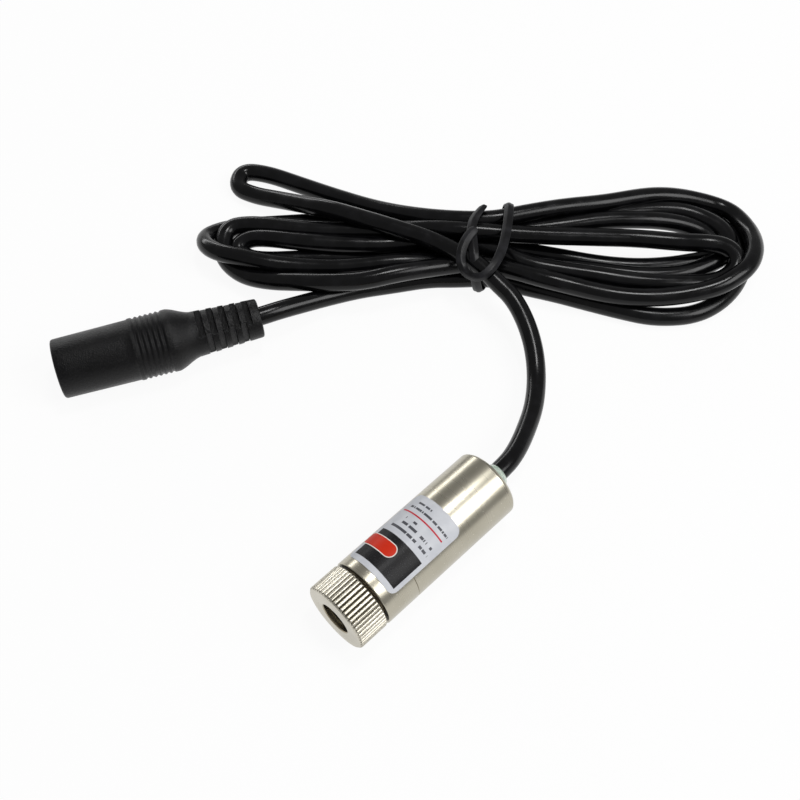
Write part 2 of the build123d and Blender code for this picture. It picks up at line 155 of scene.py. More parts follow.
class Shade:
    """A material under construction, with the few pattern steps that the finishes share."""

    def __init__(self, name: str) -> None:
        """Starts an empty material of that name."""
        self.material = bpy.data.materials.new(name)
        self.material.use_nodes = True
        self.tree = self.material.node_tree
        self.tree.nodes.clear()
        self.output = add_node(self.tree, "ShaderNodeOutputMaterial")

    def place(self, which: str = "Object") -> Wire:
        """Gives the Object coordinates, or the piece's own UV map."""
        return Wire(add_node(self.tree, "ShaderNodeTexCoord").outputs[which])

    def noise(self, scale: float, detail: float = 2.0, vector: Any = None) -> Wire:
        """Samples noise of so many grains to a metre, or to a unit of another vector."""
        inputs = {"Vector": vector or self.place(), "Scale": scale, "Detail": detail}
        return Wire(add_node(self.tree, "ShaderNodeTexNoise", inputs).outputs["Fac"])

    def streaks(self, scale: Point, detail: float = 2.0) -> Wire:
        """Samples noise with its own number of grains to a metre along each axis."""
        place = add_node(self.tree, "ShaderNodeMapping", {"Vector": self.place(), "Scale": scale})
        return self.noise(1.0, detail, place.outputs["Vector"])

    def blend(self, share: Any, first: Any, second: Any) -> Wire:
        """Mixes two colours by a share."""
        node = add_node(self.tree, "ShaderNodeMix", data_type="RGBA")
        for name, value in (("Factor_Float", share), ("A_Color", first), ("B_Color", second)):
            feed(next(item for item in node.inputs if item.identifier == name), value)
        return Wire(next(item for item in node.outputs if item.identifier == "Result_Color"))

    def bump(self, height: Wire, depth_mm: float, strength: float) -> Wire:
        """Turns a height pattern of a real depth into a normal."""
        inputs = {"Height": height, "Distance": depth_mm * MM, "Strength": strength}
        return Wire(add_node(self.tree, "ShaderNodeBump", inputs).outputs["Normal"])

    def finish(self, **values: Any) -> bpy.types.Material:
        """Ends the material in one Principled shader.

        Args:
            values: Principled inputs, with underscores for the spaces in their names.

        Returns:
            The finished material.
        """
        inputs = {name.replace("_", " "): value for name, value in values.items()}
        shader = add_node(self.tree, "ShaderNodeBsdfPrincipled", inputs)
        feed(self.output.inputs["Surface"], shader.outputs["BSDF"])
        return self.material

    def grained(self, grain: Wire, colours: tuple[str, str], marks: Point, rough: tuple[float, float],
                relief: tuple[float, float], **values: Any) -> bpy.types.Material:
        """Ends a material whose colour, gloss and relief all follow one grain.

        Args:
            grain: The pattern.
            colours: The plain colour and the marks' colour.
            marks: Where in the grain the marks begin, where they are full and how much they then cover.
            rough: Roughness, and how much more of it the marks have.
            relief: Depth in millimetres and strength.
            values: Further Principled inputs.

        Returns:
            The finished material.
        """
        return self.finish(
            Base_Color=self.blend(grain.span(marks[0], marks[1], 0.0, marks[2]), *colours),
            Roughness=grain.span(0.3, 0.7, rough[0], rough[0] + rough[1]),
            Normal=self.bump(grain, *relief), **values,
        )


@dataclass(frozen=True)
class SatinNickel:
    """Nickel plating on turned brass: warm, satin, with fine turning marks round the axis and tiny specks."""

    colour: str = "b9b4a5"
    cloud_colour: str = "aaa594"
    # near white: painted glints on the plating's pits
    speck_glint_colour: str = "f6f2e6"
    # painted shade for the knurl's grooves
    groove_shade_colour: str = "2e2a22"
    roughness: float = 0.28
    ring_pitch_mm: float = 0.3      # turning marks, coarser than real so that they show
    speck_mm: float = 0.35          # pits in the plating, rougher and bumped; their near-white colour is painted glint
    mark_depth_mm: float = 0.0006
    grooves_mm: tuple[float, ...] = ()      # a knurl's axis height, groove floor, crest and front end

    def build(self) -> bpy.types.Material:
        """Returns the material."""
        shade = Shade("nickel_plated_brass_satin")
        rings = shade.streaks((60.0, 1 / (self.ring_pitch_mm * MM), 60.0), 3.0)
        cloud = shade.noise(160.0, 3.0)      # about 6 mm: uneven plating
        pits_and_glints = shade.noise(1 / (self.speck_mm * MM), 1.0).span(0.72, 0.78, 0.0, 1.0)
        tone = shade.blend(cloud.span(0.35, 0.65, 0.0, 0.45), self.colour, self.cloud_colour)
        # painted glints: the pits are coloured near white
        tone = shade.blend(pits_and_glints * 0.6, tone, self.speck_glint_colour)
        if self.grooves_mm:     # painted shade: the knurl's grooves are darkened, except at the very front, so the ridges read one by one
            height, floor, crest, front = (size * MM for size in self.grooves_mm)
            across, along, up = split(shade.place())
            ridge = reach(across, up - height).span(floor, crest, 0.0, 1.0)
            unshaded = ridge.step("MAXIMUM", along.span(front, front + 0.1 * MM, 1.0, 0.0))
            tone = shade.blend(unshaded, self.groove_shade_colour, tone)
        return shade.finish(
            Base_Color=tone, Metallic=1.0,
            Roughness=rings.span(0.3, 0.7, self.roughness - 0.01, self.roughness + 0.01) + pits_and_glints * 0.2,
            Normal=shade.bump(rings + pits_and_glints * 0.8, self.mark_depth_mm, 0.25),
        )


@dataclass(frozen=True)
class TurnedBrass:
    """Bare turned brass inside the cap: yellower and brighter, with facing marks."""

    colour: str = "c9a45c"
    mark_colour: str = "8e6f35"
    roughness: float = 0.24
    mark_mm: float = 0.2

    def build(self) -> bpy.types.Material:
        """Returns the material."""
        shade = Shade("brass_turned")
        marks = shade.streaks((200.0, 1 / (self.mark_mm * MM), 200.0))
        return shade.grained(marks, (self.colour, self.mark_colour), (0.3, 0.7, 0.5), (self.roughness, 0.12),
                             (0.01, 0.5), Metallic=1.0)


@dataclass(frozen=True)
class PlatedContact:
    """Thin plating on small stamped or turned contacts, with a faint wipe mark."""

    name: str
    colour: str
    dark_colour: str
    roughness: float = 0.22

    def build(self) -> bpy.types.Material:
        """Returns the material."""
        shade = Shade(self.name)
        wipe = shade.streaks((2500.0, 500.0, 2500.0))    # 0.4 mm by 2 mm streaks
        return shade.grained(wipe, (self.colour, self.dark_colour), (0.35, 0.7, 0.6), (self.roughness, 0.15),
                             (0.004, 0.4), Metallic=1.0)


@dataclass(frozen=True)
class SpeckledPlastic:
    """Small opaque parts: epoxy, ceramic, nylon or enamelled board, each with its own grain."""

    name: str
    colour: str
    fleck: str
    grain_mm: float = 0.15
    roughness: float = 0.4

    def build(self) -> bpy.types.Material:
        """Returns the material."""
        shade = Shade(self.name)
        grain = shade.noise(1 / (self.grain_mm * MM), 3.0)
        return shade.grained(grain, (self.colour, self.fleck), (0.45, 0.75, 0.8), (self.roughness, 0.12),
                             (0.01, 0.4))


@dataclass(frozen=True)
class ClearGlass:
    """Moulded optical glass with a thin coating and a trace of dust."""

    name: str
    tint: str = "f2fbff"
    dust_colour: str = "dfe9e4"

    def build(self) -> bpy.types.Material:
        """Returns the material."""
        shade = Shade(self.name)
        dust = shade.noise(3000.0)      # specks of a third of a millimetre
        return shade.finish(
            Base_Color=shade.blend(dust.span(0.45, 0.75, 0.0, 0.3), self.tint, self.dust_colour),
            Roughness=dust.span(0.5, 0.8, 0.02, 0.12), IOR=1.52, Transmission_Weight=1.0,
            Coat_Weight=0.3, Coat_Roughness=0.04,
        )


@dataclass(frozen=True)
class ClearGlue:
    """Set clear glue: milky, greenish where thick, wavy and glossy."""

    thin: str = "dfe9dd"
    thick: str = "a9bfb0"

    def build(self) -> bpy.types.Material:
        """Returns the material."""
        shade = Shade("hot_melt_glue_clear")
        waves = shade.noise(900.0)      # about a millimetre
        bubbles = shade.noise(4200.0, 1.0)
        return shade.finish(
            Base_Color=shade.blend(waves.span(0.35, 0.65, 0.0, 1.0), self.thin, self.thick),
            Roughness=bubbles.span(0.4, 0.7, 0.12, 0.3), IOR=1.49, Transmission_Weight=0.2,
            Subsurface_Weight=0.4, Subsurface_Radius=(1.0, 1.1, 0.9), Subsurface_Scale=0.0008,
            Normal=shade.bump(waves + bubbles * 0.2, 0.12, 0.6),
        )


@dataclass(frozen=True)
class PrintedFilm:
    """Silver-white polyester label film, semi-gloss, printed with plain fields, a rule and short bars.

    The UV map is in millimetres: across the barrel from the label's middle, and along from its front edge.
    """

    film: str = "cfd1d6"
    film_cloud: str = "b9bcc3"
    ink: str = "121113"
    ink_worn: str = "77777c"
    rule: str = "c0273a"
    badge: str = "cc2a0a"
    badge_edge: str = "e9e4dc"
    faint: str = "4c4d53"
    panel_box: tuple[float, ...] = (-0.25, 4.0, 4.75, 3.0, 0.06)
    edge_box: tuple[float, ...] = (-2.9, 4.5, 3.65, 1.3, 1.25)
    badge_box: tuple[float, ...] = (-2.9, 4.5, 3.5, 1.15, 1.1)
    rule_box: tuple[float, ...] = (-0.5, 11.6, 4.6, 0.14, 0.05)
    # each row of bars: its middle, half height, start and end across, mean bar length, and a seed
    rows: tuple[tuple[float, ...], ...] = (
        (8.3, 0.24, -4.2, 4.2, 0.45, 3.0), (9.5, 0.24, -3.6, 3.9, 0.45, 11.0),
        (10.5, 0.2, -3.0, -0.4, 0.4, 19.0), (12.7, 0.2, -4.4, 4.2, 0.38, 27.0),
        (13.8, 0.18, -3.6, -0.6, 0.38, 35.0),
    )

    def box(self, place: tuple[Wire, Wire], size: Sequence[float], soft: float = 0.05) -> Wire:
        """Gives 1 inside a rounded box and 0 outside.

        Args:
            place: The two UV coordinates, in millimetres.
            size: The box's centre across and along, its two half sizes and its corner radius.
            soft: Width of the print's edge in millimetres.

        Returns:
            The mask.
        """
        corner = size[4]
        parts = []
        for coordinate, middle, half in zip(place, size[:2], size[2:4]):
            parts.append(((coordinate - middle).step("ABSOLUTE") - (half - corner)).step("MAXIMUM", 0.0))
        return reach(*parts).span(corner - soft / 2, corner + soft / 2, 1.0, 0.0)

    def bars(self, shade: Shade, place: tuple[Wire, Wire], row: Sequence[float]) -> Wire:
        """Gives a row of short bars of uneven length, as print seen from a step away.

        Args:
            shade: The material being built.
            place: The two UV coordinates, in millimetres.
            row: One of the film's rows.

        Returns:
            The mask.
        """
        middle, half_height, start, end, pitch, seed = row
        line = add_node(shade.tree, "ShaderNodeCombineXYZ", {"X": place[0], "Y": seed}).outputs[0]
        broken = shade.noise(1 / pitch, 0.0, line).span(0.4, 0.42, 0.0, 1.0)
        size = ((start + end) / 2, middle, (end - start) / 2, half_height, 0.05)
        return self.box(place, size, 0.04) * broken

    def build(self) -> bpy.types.Material:
        """Returns the material."""
        shade = Shade("polyester_film_printed")
        place = tuple(split(shade.place("UV"))[:2])
        grain = shade.noise(9.0, 3.0, shade.place("UV"))            # a tenth of a millimetre
        cloud = shade.noise(0.5, 2.0, shade.place("UV"))
        colour = shade.blend(cloud.span(0.35, 0.65, 0.0, 0.5), self.film, self.film_cloud)
        ink = shade.blend(grain.span(0.62, 0.72, 0.0, 0.6), self.ink, self.ink_worn)
        panel = self.box(place, self.panel_box)
        colour = shade.blend(panel, colour, ink)
        colour = shade.blend(self.box(place, self.edge_box), colour, self.badge_edge)
        colour = shade.blend(self.box(place, self.badge_box), colour, self.badge)
        for row in self.rows:
            colour = shade.blend(self.bars(shade, place, row), colour, self.faint)
        colour = shade.blend(self.box(place, self.rule_box), colour, self.rule)
        return shade.finish(
            Base_Color=colour, Roughness=grain.span(0.3, 0.7, 0.38, 0.48) + panel * 0.04,
            Specular_IOR_Level=0.2, Coat_Weight=0.03, Coat_Roughness=0.18, Normal=shade.bump(grain, 0.004, 0.4),
        )


@dataclass(frozen=True)
class CableVinyl:
    """Extruded black PVC jacket: smooth, semi-gloss, with a fine skin and scuffs."""

    name: str = "pvc_jacket_black"
    colour: str = "060607"
    worn: str = "0f0f11"
    roughness: float = 0.15

    def build(self) -> bpy.types.Material:
        """Returns the material."""
        shade = Shade(self.name)
        scuffs = shade.noise(420.0, 4.0)      # scuffs of two or three millimetres
        skin = shade.noise(5200.0)            # the skin's grain, a fifth of a millimetre
        return shade.finish(
            Base_Color=shade.blend(scuffs.span(0.45, 0.7, 0.0, 0.8), self.colour, self.worn),
            Roughness=scuffs.span(0.35, 0.7, self.roughness, self.roughness + 0.12), IOR=1.5,
            Specular_IOR_Level=0.26, Normal=shade.bump(skin, 0.012, 0.35),
        )


@dataclass(frozen=True)
class MouldedPvc:
    """Injection-moulded black PVC with a spark-eroded skin: fine grain and a soft broad sheen."""

    colour: str = "050506"
    pale: str = "161618"
    roughness: float = 0.33
    grain_mm: float = 0.22      # twice the real grain, so that it shows

    def build(self) -> bpy.types.Material:
        """Returns the material."""
        shade = Shade("pvc_moulded_black")
        grain = shade.noise(1 / (self.grain_mm * MM))
        cloud = shade.noise(260.0, 3.0)
        gloss = cloud.span(0.3, 0.7, self.roughness - 0.05, self.roughness + 0.08)
        return shade.finish(
            Base_Color=shade.blend(grain.span(0.5, 0.8, 0.0, 0.9), self.colour, self.pale),
            Roughness=gloss + grain.span(0.4, 0.8, 0.0, 0.06), IOR=1.5, Specular_IOR_Level=0.24,
            Normal=shade.bump(grain, 0.09, 1.0),
        )


class Finishes:
    """Builds each finish once and hands out its material."""

    def __init__(self) -> None:
        """Starts with no materials."""
        self.made: dict[Any, bpy.types.Material] = {}

    def get(self, finish: Any) -> bpy.types.Material:
        """Gives the material of a frozen finish, built on first use."""
        if finish not in self.made:
            self.made[finish] = finish.build()
        return self.made[finish]


@dataclass(frozen=True)
class Spindle:
    """An axis to turn profiles about, with the directions its angle starts from and goes towards."""

    origin: Point
    axis: Point
    start: Point
    side: Point

    def at(self, along: float, radius: float, angle: float) -> Vector:
        """Gives the point, in metres, at a distance and a radius in millimetres, and an angle."""
        spoke = Vector(self.start) * math.cos(angle) + Vector(self.side) * math.sin(angle)
        return (Vector(self.origin) + Vector(self.axis) * along + spoke * radius) * MM


MODULE_SPINDLE = Spindle((0.0, 0.0, 6.0), (0.0, 1.0, 0.0), (0.0, 0.0, 1.0), (1.0, 0.0, 0.0))
JACK_TURN = math.radians(26.3)
JACK_SPINDLE = Spindle(
    (-67.4, -21.6, 5.6), (math.sin(JACK_TURN), math.cos(JACK_TURN), 0.0), (0.0, 0.0, 1.0),
    (math.cos(JACK_TURN), -math.sin(JACK_TURN), 0.0),
)


def new_object(name: str, data: Any) -> bpy.types.Object:
    """Makes an object of some data and links it to the scene."""
    made = bpy.data.objects.new(name, data)
    bpy.context.scene.collection.objects.link(made)
    return made


def aim(thing: bpy.types.Object, place: Point, target: Point) -> None:
    """Puts a lamp or camera at a place, turned to a target."""
    thing.location = place
    thing.rotation_euler = (Vector(target) - Vector(place)).to_track_quat("-Z", "Y").to_euler()


def rounded(profile: Profile, radius: float, steps: int) -> list[tuple[float, float]]:
    """Rounds the corners of a closed profile.

    Args:
        profile: (along, radius) points in millimetres, round a closed outline.
        radius: The largest corner radius, cut down where the sides are short.
        steps: Divisions of each corner.

    Returns:
        The outline with rounded corners.
    """
    points = [Vector(point) for point in profile]
    result: list[tuple[float, float]] = []
    for index, corner in enumerate(points):
        before = points[index - 1] - corner
        after = points[(index + 1) % len(points)] - corner
        cut = min(radius, before.length * 0.45, after.length * 0.45)
        first = corner + before.normalized() * cut
        last = corner + after.normalized() * cut
        for step in range(steps + 1):
            share = step / steps
            point = first * (1 - share) ** 2 + corner * 2 * share * (1 - share) + last * share ** 2
            result.append((point.x, point.y))
    return result


def turned(spindle: Spindle, profile: Profile, segments: int) -> bmesh.types.BMesh:
    """Turns a closed profile about an axis.

    Args:
        spindle: The axis.
        profile: (along, radius) points in millimetres, round a closed outline.
        segments: Divisions round the axis.

    Returns:
        A closed mesh with its faces outwards.
    """
    mesh = bmesh.new()
    rings = []
    for step in range(segments):
        angle = 2 * math.pi * step / segments
        rings.append([mesh.verts.new(spindle.at(along, radius, angle)) for along, radius in profile])
    for step in range(segments):
        here, there = rings[step], rings[(step + 1) % segments]
        for index in range(len(profile)):
            follow = (index + 1) % len(profile)
            if profile[index][1] > 0 or profile[follow][1] > 0:
                mesh.faces.new((here[index], here[follow], there[follow], there[index]))
    bmesh.ops.remove_doubles(mesh, verts=mesh.verts, dist=1e-7)
    bmesh.ops.dissolve_degenerate(mesh, edges=mesh.edges, dist=1e-8)
    return mesh


def soften(data: bpy.types.Mesh, sharp_degrees: float) -> None:
    """Shades a mesh smooth but for the edges that turn by more than an angle."""
    data.shade_smooth()
    data.set_sharp_from_angle(angle=math.radians(sharp_degrees))


def plain_mesh(name: str, mesh: bmesh.types.BMesh, material: bpy.types.Material | None = None,
               sharp_degrees: float = SHARP_DEGREES) -> bpy.types.Object:
    """Makes an object of a bmesh, smooth but for its sharp edges.

    Args:
        name: The piece's name.
        mesh: The bmesh, which is freed.
        material: Its finish, or None where a rule sets it.
        sharp_degrees: Edges that turn by more than this stay sharp.

    Returns:
        The object, linked to the scene.
    """
    bmesh.ops.recalc_face_normals(mesh, faces=mesh.faces)
    data = bpy.data.meshes.new(name)
    mesh.to_mesh(data)
    mesh.free()
    soften(data, sharp_degrees)
    if material:
        data.materials.append(material)
    return new_object(name, data)


def deliver(piece: bpy.types.Object, body: Body, slot: Slot, *nodes: str) -> bpy.types.Object:
    """Hands a finished piece to the frame and reports it.

    Args:
        piece: The piece, in its place.
        body: The body it moves with.
        slot: Not used.
        nodes: The CAD nodes it stands for.

    Returns:
        The piece.
    """
    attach(piece, body.value)
    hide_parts(*nodes)
    LOG.info("%s on %s, for %s", piece.name, body.value, ", ".join(nodes))
    return piece


def dress(node: str, material: bpy.types.Material) -> bpy.types.Object:
    """Gives a CAD node its material, and gives back its object."""
    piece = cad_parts[node]
    if not piece.material_slots:
        piece.data.materials.append(material)
    for holder in piece.material_slots:
        holder.material = material
    LOG.info("%s keeps its CAD shape in %s", node, material.name)
    return piece


class RuleTree:
    """A Geometry Nodes tree with named inputs, which moves points and ends in plain geometry."""

    def __init__(self, name: str, sizes: dict[str, float], material: bpy.types.Material) -> None:
        """Starts the tree with a geometry socket and one float input for each size."""
        self.tree = bpy.data.node_groups.new(name, "GeometryNodeTree")
        face = self.tree.interface
        for way in ("INPUT", "OUTPUT"):
            face.new_socket(name="Geometry", in_out=way, socket_type="NodeSocketGeometry")
        self.sizes = sizes
        self.sockets = {
            label: face.new_socket(name=label, in_out="INPUT", socket_type="NodeSocketFloat").identifier
            for label in sizes
        }
        self.material = material
        self.start = add_node(self.tree, "NodeGroupInput")

    def __getitem__(self, label: str) -> Wire:
        """Gives one named size."""
        return Wire(self.start.outputs[label])

    def position(self) -> list[Wire]:
        """Gives the coordinates of each point."""
        return split(add_node(self.tree, "GeometryNodeInputPosition").outputs[0])

    def move(self, piece: bpy.types.Object, spoke: tuple[Any, Any, Any], share: Wire) -> bpy.types.Object:
        """Moves a piece's points along their spokes, and bakes the result.

        Args:
            piece: The piece.
            spoke: The vector from the axis to each point.
            share: How far each point moves, as a share of its spoke.

        Returns:
            The same object, a plain mesh without its modifier.
        """
        vector = add_node(self.tree, "ShaderNodeCombineXYZ", dict(zip("XYZ", spoke))).outputs[0]
        scaled = {"Vector": vector, "Scale": share}
        offset = add_node(self.tree, "ShaderNodeVectorMath", scaled, operation="SCALE")
        flow = self.start
        for kind, inputs in (
            ("GeometryNodeSetPosition", {"Offset": offset.outputs[0]}), ("GeometryNodeRealizeInstances", {}),
            ("GeometryNodeSetMaterial", {"Material": self.material}), ("NodeGroupOutput", {}),
        ):
            flow = add_node(self.tree, kind, {"Geometry": flow.outputs["Geometry"], **inputs})
        modifier = piece.modifiers.new(self.tree.name, "NODES")
        modifier.node_group = self.tree
        for label, value in self.sizes.items():
            modifier[self.sockets[label]] = float(value)
        graph = bpy.context.evaluated_depsgraph_get()
        data = bpy.data.meshes.new_from_object(piece.evaluated_get(graph))
        piece.modifiers.clear()
        piece.data = data
        soften(data, SHARP_DEGREES)
        return piece


@dataclass
class FocusCap:
    """The knurled cap, its brass throat, the lens and the ring behind it. Sizes in millimetres."""

    front: float = -17.85
    length: float = 5.6
    crest: float = 6.0
    axis_height: float = 6.0
    front_chamfer: float = 0.35
    rim_chamfer: float = 0.3
    knurl_count: int = 50
    knurl_depth: float = 0.3
    flat_share: float = 0.34
    segments_per_groove: int = 12
    core_radius: float = 4.45
    aperture: float = 2.75
    lip: float = 0.12
    face: float = 1.1
    chamber: float = 3.25
    stem_length: float = 4.6

    def knurl(self, piece: bpy.types.Object, material: bpy.types.Material) -> bpy.types.Object:
        """Cuts the straight knurl into the cap's outside by rule.

        Args:
            piece: The smooth cap.
            material: The finish it ends in.

        Returns:
            The cap with its grooves.
        """
        rule = RuleTree("straight_knurl", {
            "Axis Height": self.axis_height * MM, "Crest Radius": self.crest * MM,
            "Groove Depth": self.knurl_depth * MM, "Groove Count": self.knurl_count,
            "Flat Share": self.flat_share,
        }, material)
        across, _, height = rule.position()
        up = height - rule["Axis Height"]
        turn = across.step("ARCTAN2", up) / (2 * math.pi)
        away = ((turn * rule["Groove Count"] + 0.5).step("FRACT") - 0.5).step("ABSOLUTE") * 2.0
        groove = away.span(rule["Flat Share"], 1.0, 0.0, 1.0, "SMOOTHSTEP")
        limit = rule["Crest Radius"] - groove * rule["Groove Depth"]
        radius = reach(across, up)
        return rule.move(piece, (across, 0.0, up), (limit - radius).step("MINIMUM", 0.0) / radius)

    def build(self, finishes: Finishes) -> None:
        """Makes the cap's pieces and dresses the lens and its ring."""
        rear = self.front + self.length
        face = self.front + self.face
        mouth = self.aperture + self.lip
        outside = rounded([
            (self.front, mouth), (self.front, self.crest - self.front_chamfer),
            (self.front + self.front_chamfer, self.crest), (rear - self.rim_chamfer, self.crest),
            (rear, self.crest - self.rim_chamfer), (rear, self.core_radius), (face, self.core_radius),
            (face, mouth),
        ], 0.1, 4)
        mesh = turned(MODULE_SPINDLE, outside, self.knurl_count * self.segments_per_groove)
        grooves = (
            self.axis_height, self.crest - self.knurl_depth, self.crest - 0.03, self.front + self.front_chamfer / 2,
        )
        nickel = finishes.get(SatinNickel("d2cdc0", roughness=0.36, mark_depth_mm=0.0001, grooves_mm=grooves))
        shell = self.knurl(plain_mesh("focus_cap_knurled", mesh, sharp_degrees=50.0), nickel)
        deliver(shell, Body.CAP, Slot.NICKEL, "focus_cap")
        end = rear + self.stem_length
        behind = face + 0.01        # clear of the shell's own face
        throat = rounded([
            (self.front + 0.02, mouth), (self.front + 0.14, self.aperture), (face, self.aperture),
            (face, self.chamber), (end, self.chamber), (end, self.core_radius), (behind, self.core_radius),
            (behind, mouth),
        ], 0.05, 2)
        brass = finishes.get(TurnedBrass("aca797", roughness=0.25, mark_mm=0.5))
        inside = plain_mesh("focus_cap_throat", turned(MODULE_SPINDLE, throat, 160), brass)
        deliver(inside, Body.CAP, Slot.BRASS, "focus_cap")
        dress("collimating_lens", finishes.get(ClearGlass("optical_glass_coated")))
        dress("lens_retainer", finishes.get(TurnedBrass("b8924c")))


@dataclass
class Barrel:
    """The head, the rear tube, the label over their seam and the glue at the cable. Sizes in millimetres."""

    radius: float = 6.0
    head_front: float = -11.9
    seam: float = -5.5
    rear: float = 16.25
    inner_end: float = 15.05
    thread: float = 4.5
    bore: float = 5.4
    gland: float = 2.05
    seam_chamfer: float = 0.12
    rear_chamfer: float = 0.5
    spigot_rear: float = -0.5
    seat_rear: float = -1.7
    seat_front: float = -2.7
    seat_radius: float = 2.8
    can_radius: float = 1.93
    label_front: float = -10.25
    label_length: float = 15.3
    label_limits: tuple[float, float] = (-56.5, 49.5)
    label_corner: float = 1.4
    label_lift: float = 0.1
    plug_radius: float = 3.6
    cable_hole: float = 1.66
    bead: tuple[tuple[float, float], ...] = ((0.0, 3.3), (0.5, 3.2), (1.3, 2.8), (2.1, 2.15))
    bead_end: float = 2.4

    def head(self, material: bpy.types.Material) -> None:
        """Makes the barrel's front with its bore, seat and spigot."""
        outline = rounded([
            (self.head_front, self.thread), (self.head_front, self.radius - self.seam_chamfer),
            (self.head_front + self.seam_chamfer, self.radius), (self.seam - self.seam_chamfer, self.radius),
            (self.seam, self.radius - self.seam_chamfer), (self.seam, self.bore),
            (self.spigot_rear, self.bore), (self.spigot_rear, self.seat_radius),
            (self.seat_rear, self.seat_radius), (self.seat_rear, self.can_radius),
            (self.seat_front, self.can_radius), (self.seat_front, self.thread),
        ], 0.08, 3)
        piece = plain_mesh("barrel_head", turned(MODULE_SPINDLE, outline, 192), material)
        deliver(piece, Body.MODULE, Slot.NICKEL, "front_head")

    def tube(self, material: bpy.types.Material) -> None:
        """Makes the rear tube with its closed end and cable hole."""
        outline = rounded([
            (self.seam, self.bore), (self.seam, self.radius - self.seam_chamfer),
            (self.seam + self.seam_chamfer, self.radius), (self.rear - self.rear_chamfer, self.radius),
            (self.rear, self.radius - self.rear_chamfer), (self.rear, self.gland),
            (self.inner_end, self.gland), (self.inner_end, self.bore),
        ], 0.22, 4)
        piece = plain_mesh("barrel_tube", turned(MODULE_SPINDLE, outline, 192), material)
        deliver(piece, Body.MODULE, Slot.NICKEL, "rear_tube")

    def label(self, material: bpy.types.Material) -> None:
        """Makes the film: a bent sheet with rounded corners, its UV map in millimetres."""
        outer = self.radius + self.label_lift
        low, high = [math.radians(limit) * outer for limit in self.label_limits]
        corner = self.label_corner
        corner_steps, plain_steps, columns = 8, 24, 72
        rows = [corner * (1 - math.cos(math.pi / 2 * step / corner_steps)) for step in range(corner_steps)]
        plain = self.label_length - 2 * corner
        rows += [corner + plain * step / plain_steps for step in range(plain_steps + 1)]
        rows += [self.label_length - row for row in reversed(rows[:corner_steps])]
        mesh = bmesh.new()
        marks = mesh.loops.layers.uv.new("film_mm")
        places: dict[bmesh.types.BMVert, tuple[float, float]] = {}
        edges = []
        for lift in (outer, self.radius + 0.01):
            side = []
            for row in rows:
                near = min(row, self.label_length - row, corner)
                inset = corner - math.sqrt(corner ** 2 - (corner - near) ** 2)
                line = []
                for column in range(columns + 1):
                    across = low + inset + (high - low - 2 * inset) * column / columns
                    vert = mesh.verts.new(MODULE_SPINDLE.at(self.label_front + row, lift, across / outer))
                    places[vert] = (across, row)
                    line.append(vert)
                side.append(line)
            for here, there in zip(side, side[1:]):
                for index in range(columns):
                    mesh.faces.new((here[index], here[index + 1], there[index + 1], there[index]))
            right, left = [line[-1] for line in side[1:]], [line[0] for line in side[-2:0:-1]]
            edges.append(side[0] + right + side[-1][-2::-1] + left)
        outside, inside = edges
        for index in range(len(outside)):
            follow = (index + 1) % len(outside)
            mesh.faces.new((outside[index], outside[follow], inside[follow], inside[index]))
        for face in mesh.faces:
            for loop in face.loops:
                loop[marks].uv = places[loop.vert]
        deliver(plain_mesh("label_film", mesh, material, 40.0), Body.MODULE, Slot.FILM, "label")

    def glue(self, material: bpy.types.Material) -> None:
        """Makes the glue: a plug inside the end wall and a bead round the cable, which sags to one side."""
        plug = self.inner_end - 0.8
        outline = rounded([
            (plug, self.cable_hole), (plug, self.plug_radius), (self.inner_end, self.plug_radius),
            (self.inner_end, self.gland), (self.rear, self.gland),
            *[(self.rear + along, radius) for along, radius in self.bead],
            (self.rear + self.bead_end, self.cable_hole),
        ], 0.25, 4)
        mesh = turned(MODULE_SPINDLE, outline, 96)
        for vert in mesh.verts:
            if vert.co.y / MM <= self.rear + 0.01:
                continue
            spoke = Vector((vert.co.x, 0.0, vert.co.z - self.radius * MM))
            turn = math.atan2(spoke.x, spoke.z)
            sag = 0.5 - 0.5 * math.cos(turn - 1.0)
            wave = 0.5 + 0.5 * math.sin(3 * turn + 1.3)
            room = max(spoke.length / MM - self.cable_hole, 0.0)
            vert.co -= spoke.normalized() * room * (0.75 * sag + 0.12 * wave) * MM
        deliver(plain_mesh("glue_bead", mesh, material, 60.0), Body.MODULE, Slot.GLUE, "glue_plug")

    def build(self, finishes: Finishes) -> None:
        """Makes the barrel's pieces."""
        nickel = finishes.get(SatinNickel())
        self.head(nickel)
        self.tube(nickel)
        self.label(finishes.get(PrintedFilm()))
        self.glue(finishes.get(ClearGlue()))


